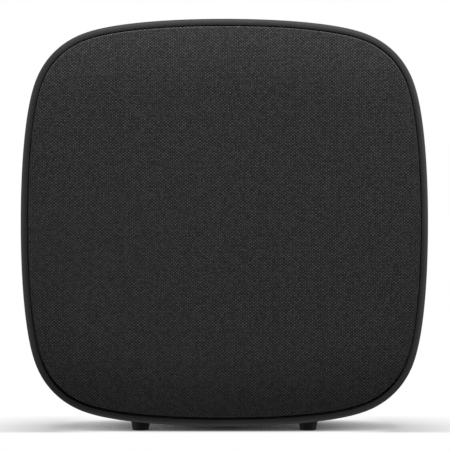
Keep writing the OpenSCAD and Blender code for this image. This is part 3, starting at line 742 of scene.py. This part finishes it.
def circuit_board():
    """Green lacquered board over copper tracks."""
    material, g, shader, where = start_material("circuit_board", coat_weight=0.6, coat_roughness=0.2)
    tracks = g.place(GROUPS["tracks"], vector=where)
    base = g.mix(tracks.outputs["Track"], tint(0.008, 0.055, 0.026), tint(0.02, 0.12, 0.055))
    g.feed(shader.inputs["Base Color"], g.mix(tracks.outputs["Land"], base, tint(0.62, 0.5, 0.3)))
    g.feed(shader.inputs["Roughness"], g.remap(g.noise(where, 300.0), 0.3, 0.7, 0.35, 0.5))
    g.feed(shader.inputs["Normal"], g.bump(tracks.outputs["Height"], 0.3, 0.00004))
    return material


def clear_lens():
    """Clear moulded light guide with a faint haze in its surface."""
    material, g, shader, where = start_material("light_lens", transmission_weight=0.85, ior=1.49)
    haze = g.noise(where, 700.0, 3.0)
    g.feed(shader.inputs["Base Color"], g.mix(haze, tint(0.7, 0.74, 0.7), tint(0.88, 0.9, 0.86)))
    g.feed(shader.inputs["Roughness"], g.remap(haze, 0.3, 0.7, 0.08, 0.22))
    return material


def make_materials():
    """One material for each slot of the record."""
    black = tint(0.010, 0.010, 0.0105)
    return {
        "housing_plastic": moulded("housing_plastic", tint(0.017, 0.017, 0.0175), 0.55, 2600.0, 0.15, 0.05,
                                   0.02, specular_ior_level=0.08),
        "inner_plastic": moulded("inner_plastic", tint(0.016, 0.016, 0.0165), 0.6, 1600.0, 0.35, 0.1, 0.1),
        "cloth": woven("cloth", tint(0.014, 0.014, 0.0145), tint(0.058, 0.058, 0.059), 0.5652 * MM,
                       0.4593 * MM, 0.6, slub=0.4, sheen_weight=0.05, sheen_roughness=0.5,
                       specular_ior_level=0.25),
        "foam": moulded("foam", tint(0.012, 0.012, 0.012), 0.95, 1200.0, 0.9, 0.05, 0.1),
        "rubber": moulded("rubber", tint(0.004, 0.004, 0.004), 0.7, 1800.0, 0.4, 0.1, 0.03,
                          specular_ior_level=0.12),
        "cone_paper": moulded("cone_paper", tint(0.022, 0.022, 0.023), 0.8, 1100.0, 0.6, 0.1, 0.05),
        "copper": metal("copper", tint(0.72, 0.32, 0.16), 0.35),
        "spider_cloth": woven("spider_cloth", tint(0.2, 0.13, 0.05), tint(0.45, 0.32, 0.14), 0.5 * MM,
                              0.5 * MM, 0.5, use_uv=False),
        "zinc_steel": metal("zinc_steel", tint(0.6, 0.6, 0.62), 0.35),
        "screw_steel": metal("screw_steel", tint(0.55, 0.55, 0.57), 0.3),
        "black_screw": moulded("black_screw", black, 0.35, 1500.0, 0.25, 0.12, 0.05, metallic=0.6),
        "lead_jacket": moulded("lead_jacket", black, 0.5),
        "connector_plastic": moulded("connector_plastic", tint(0.62, 0.58, 0.47), 0.5),
        "connector_black": moulded("connector_black", black, 0.42),
        "circuit_board": circuit_board(),
        "chip_epoxy": moulded("chip_epoxy", tint(0.014, 0.014, 0.015), 0.55, 1800.0, 0.4),
        "silicone_pad": moulded("silicone_pad", tint(0.28, 0.29, 0.34), 0.7),
        "heat_sink_aluminium": metal("heat_sink_aluminium", tint(0.72, 0.73, 0.75), 0.32),
        "capacitor_sleeve": moulded("capacitor_sleeve", tint(0.01, 0.012, 0.02), 0.3),
        "jack_shield": metal("jack_shield", tint(0.62, 0.62, 0.64), 0.28),
        "gold_contact": metal("gold_contact", tint(0.85, 0.6, 0.22), 0.2),
        "light_lens": clear_lens(),
        "button_plastic": moulded("button_plastic", tint(0.028, 0.028, 0.029), 0.36, 2600.0, 0.2, 0.06, 0.02),
        "label_film": moulded("label_film", tint(0.045, 0.045, 0.046), 0.45, 3200.0, 0.3, 0.1, 0.05),
    }


def dress_cad_nodes(materials):
    """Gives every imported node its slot's material, and softens the moulded and pressed edges."""
    plain_edges = {"speaker_basket", "speaker_baffle", "grille_panel"}
    for entry in frame["record"]["subparts"]:
        node = frame["nodes"][entry["node"]]
        if not node.material_slots:
            node.data.materials.append(None)
        for held in node.material_slots:
            held.material = materials[entry["material_slot"]]
        if entry["node"] in plain_edges:
            continue
        weld = node.modifiers.new("weld", "WELD")
        weld.merge_threshold = 0.000002
        bevel = node.modifiers.new("soft_edges", "BEVEL")
        bevel.width = 0.00009
        bevel.segments = 2
        bevel.limit_method = "ANGLE"
        bevel.angle_limit = math.radians(40)


def fit(piece, body, node, slot, materials):
    """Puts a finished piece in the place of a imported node: its body, its slot and its material."""
    piece.data.materials.clear()
    piece.data.materials.append(materials[slot])
    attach(piece, body)
    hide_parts(node)


# ------------------------------------------------------------------ studio
def build_floor():
    """The white floor: to the camera an emission whose strength paints the hub's soft contact shadow, and
    dark to every other ray.
    """
    size = 3.0
    corners = [(-size, -size, 0), (size, -size, 0), (size, size, 0), (-size, size, 0)]
    floor = make_piece("floor", corners, [(0, 1, 2, 3)])
    paint = bpy.data.materials.new("floor_paint")
    paint.use_nodes = True
    g = Graph(paint.node_tree)
    paint.node_tree.nodes.clear()
    seen, lit = g.add("ShaderNodeEmission"), g.add("ShaderNodeBsdfDiffuse")
    lit.inputs["Color"].default_value = tint(0.01, 0.01, 0.01)
    # Painted shadow: the floor's emission is darkened by ambient occlusion from behind and ahead, not by
    # shade that the lamps cast.
    behind = open_light(g, (0.0, 0.55, 0.835), 0.4)
    ahead = open_light(g, (0.0, -0.55, 0.835), 0.4)
    light = g.math("ADD", g.math("MULTIPLY", behind, 1.45), g.math("POWER", ahead, 2.0), clamp=True)
    g.feed(seen.inputs["Strength"], g.math("MULTIPLY", light, painted_floor_shade(g)))
    blend_for_camera(g, lit.outputs[0], seen.outputs[0], "ShaderNodeOutputMaterial")
    floor.data.materials.append(paint)
    floor.visible_shadow = False


def blend_for_camera(g, other, camera, output):
    """Ends a tree with one shader for the camera's own rays and another for all the rest."""
    blend = g.add("ShaderNodeMixShader")
    g.feed(blend.inputs[0], g.add("ShaderNodeLightPath").outputs["Is Camera Ray"])
    g.feed(blend.inputs[1], other)
    g.feed(blend.inputs[2], camera)
    g.feed(g.add(output).inputs["Surface"], blend.outputs[0])


def build_surroundings():
    """White all round to the camera; the light comes from behind, strongest just over the horizon."""
    world = bpy.data.worlds.new("surroundings")
    bpy.context.scene.world = world
    world.use_nodes = True
    w = Graph(world.node_tree)
    world.node_tree.nodes.clear()
    white, around = w.add("ShaderNodeBackground"), w.add("ShaderNodeBackground")
    for background in (white, around):
        background.inputs["Color"].default_value = tint(1, 1, 1)
    way = w.add("ShaderNodeSeparateXYZ")
    w.feed(way.inputs[0], w.add("ShaderNodeTexCoord").outputs["Generated"])
    height = w.remap(way.outputs["Z"], 0.3, 0.9, 1.6, 0.2)
    over_horizon = w.remap(way.outputs["Z"], -0.02, 0.02, 0.0, 1.0)
    from_behind = w.remap(way.outputs["Y"], -0.25, 0.25, 0.01, 1.0)
    level = w.math("MULTIPLY", height, over_horizon)
    w.feed(around.inputs["Strength"], w.math("MULTIPLY", level, from_behind))
    blend_for_camera(w, around.outputs[0], white.outputs[0], "ShaderNodeOutputWorld")


def build_lamps(lit):
    """A wide soft box high over the front, and what the floor and two walls throw on the lit pieces."""
    soft_box("overhead", (0.06, -0.22, 0.79), (0.0, -0.02, CENTRE_Z), 0.75, 16.1)
    receivers = bpy.data.collections.new("lit_pieces")
    for piece in lit:
        receivers.objects.link(piece)
    side = math.radians(77)
    bounce_lamp("floor_bounce", (math.pi, 0, 0), 3.2, 50, receivers)
    bounce_lamp("left_wall", (math.pi / 2, 0, -side), 2.3, 40, receivers)
    bounce_lamp("right_wall", (math.pi * 0.44, 0, side), 3.4, 40, receivers)


def painted_floor_shade(g):
    """Painted shade on the floor past the hub's two sides, and painted light on the floor under its rising
    edges, stronger on the left than on the right, both set by place on the floor.
    """
    rim_y = BACK_Y - RIM_START * MM
    spot = g.add("ShaderNodeSeparateXYZ")
    g.feed(spot.inputs[0], g.add("ShaderNodeTexCoord").outputs["Object"])
    aside = g.math("ABSOLUTE", spot.outputs["X"])
    rise = g.remap(aside, 0.55 * HALF, 0.83 * HALF, 0.0, 0.42)
    fade = g.remap(aside, 0.85 * HALF, 1.35 * HALF, 1.0, 0.0)
    front = g.remap(spot.outputs["Y"], rim_y - 0.006, rim_y, 0.0, 1.0)
    back = g.remap(spot.outputs["Y"], rim_y + 0.018, rim_y + 0.055, 1.0, 0.0)
    shade = g.math("MULTIPLY", g.math("MULTIPLY", rise, fade), g.math("MULTIPLY", front, back))
    under = g.math("MULTIPLY", g.remap(aside, 0.03 * HALF, 0.3 * HALF, 0.0, 1.0),
                   g.remap(aside, 0.3 * HALF, 0.75 * HALF, 1.0, 0.0))
    near = g.remap(spot.outputs["Y"], rim_y + 0.003, rim_y + 0.009, 0.0, 1.0)
    far = g.remap(spot.outputs["Y"], rim_y + 0.022, rim_y + 0.038, 1.0, 0.0)
    strength = g.remap(spot.outputs["X"], -0.3 * HALF, 0.3 * HALF, 1.2, 0.45)
    gain = g.math("MULTIPLY", g.math("MULTIPLY", under, strength), g.math("MULTIPLY", near, far))
    return g.math("ADD", g.math("SUBTRACT", 1.0, shade), gain)


def open_light(g, towards, reach):
    """How much of the sky around a direction reaches a point of the floor."""
    sky = g.add("ShaderNodeAmbientOcclusion", samples=16)
    sky.inputs["Distance"].default_value = reach
    sky.inputs["Normal"].default_value = towards
    return sky.outputs["AO"]


def bounce_lamp(name, turned_to, power, spread, receivers):
    """The soft light that one bright surface around the hub throws on the pieces of a collection."""
    data = bpy.data.lights.new(name, "SUN")
    data.energy = power
    data.angle = math.radians(spread)
    lamp = bpy.data.objects.new(name, data)
    lamp.rotation_euler = turned_to
    lamp.light_linking.receiver_collection = receivers
    bpy.context.scene.collection.objects.link(lamp)


def soft_box(name, at, aim, size, power):
    """A square area light at a place, turned towards another."""
    data = bpy.data.lights.new(name, "AREA")
    data.size = size
    data.energy = power
    lamp = bpy.data.objects.new(name, data)
    way = np.asarray(aim) - np.asarray(at)
    lamp.location = at
    tilt = math.acos(-way[2] / np.linalg.norm(way))
    lamp.rotation_euler = (tilt, 0.0, math.atan2(way[1], way[0]) - math.pi / 2)
    bpy.context.scene.collection.objects.link(lamp)


def build_camera():
    """Level camera straight in front, at half the body's height, with a long lens."""
    distance = 0.65
    rim_y = BACK_Y - RIM_START * MM
    width_seen = 2 * HALF * 1.1045
    lens = 36.0 * distance / width_seen
    data = bpy.data.cameras.new("camera")
    data.sensor_width = 36.0
    data.lens = lens
    data.clip_start = 0.01
    camera = bpy.data.objects.new("camera", data)
    camera.location = (0.0002, rim_y - distance, CENTRE_Z - 0.0008)
    camera.rotation_euler = (math.pi / 2, 0, 0)
    bpy.context.scene.collection.objects.link(camera)
    bpy.context.scene.camera = camera


# ------------------------------------------------------------------ assembly
def assemble():
    materials = make_materials()
    dress_cad_nodes(materials)
    shells = build_front_shell(), build_rear_shell()
    for shell, node in zip(shells, ("front_housing", "rear_housing")):
        fit(shell, "housing", node, "housing_plastic", materials)
    cloth, flat, area = build_cloth()
    fit(cloth, "housing", "acoustic_cloth", "cloth", materials)
    feet = build_feet("front_feet", "front_foot_pair"), build_feet("rear_feet", "rear_foot_pair")
    for pair, node in zip(feet, ("front_feet", "rear_feet")):
        fit(pair, "housing", node, "rubber", materials)
    fit(build_button(), "sync_button", "sync_button", "button_plastic", materials)
    fit(build_case_screws(), "housing", "case_screws", "black_screw", materials)
    bpy.context.scene.view_settings.view_transform = "Standard"
    bpy.context.scene.view_settings.look = "None"
    build_floor()
    build_surroundings()
    build_lamps(shells + feet)
    build_camera()


assemble()
